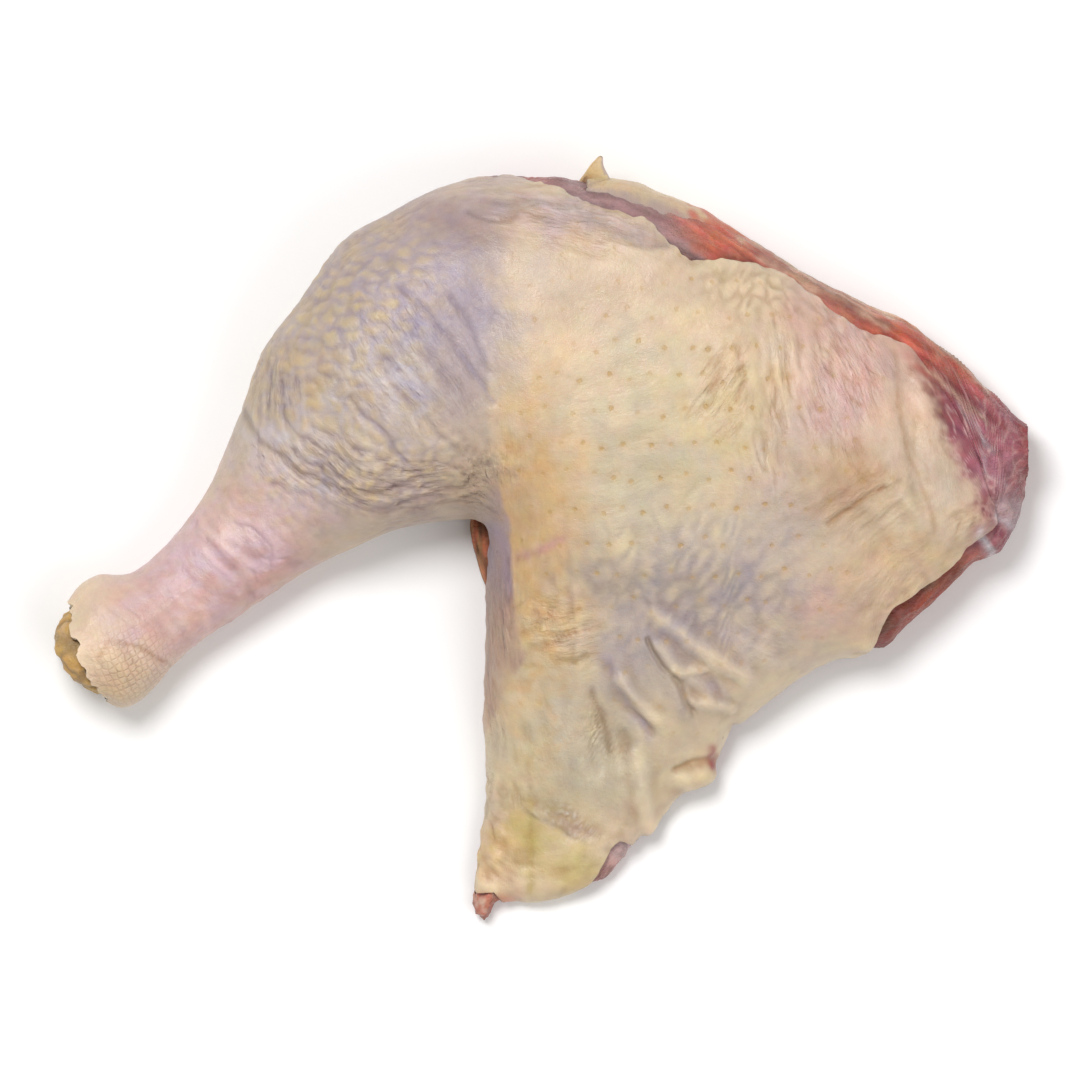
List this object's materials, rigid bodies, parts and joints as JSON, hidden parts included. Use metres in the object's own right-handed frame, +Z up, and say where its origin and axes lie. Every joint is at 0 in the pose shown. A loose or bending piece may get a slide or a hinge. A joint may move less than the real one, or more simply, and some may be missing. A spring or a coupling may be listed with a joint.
{
  "type": "raw turkey leg",
  "caption": "Raw turkey leg with drumstick and thigh in one piece, bent at the knee, skin on, with bare meat and a strip of fat along the cut edges.",
  "frame": {"origin": "on the surface the leg lies on, under the middle of its outline", "axes": "+X along the leg's longest side, from the hock towards the hip end, +Y towards the outside of the knee, +Z up out of the skin side"},
  "size_m": [0.3128, 0.2432, 0.0593],
  "materials": {
    "skin": "moist raw poultry skin, cream to yellow with pink and violet patches",
    "meat": "wet raw dark meat, red to violet",
    "hock_joint": "half dry gristle, brown to olive",
    "fat_strip": "soft glossy fat, cream to tan"
  },
  "bodies": {
    "root": {"skin": "skin", "meat": "meat", "hock_joint": "hock_joint", "fat_strip": "fat_strip"}
  },
  "joints": []
}
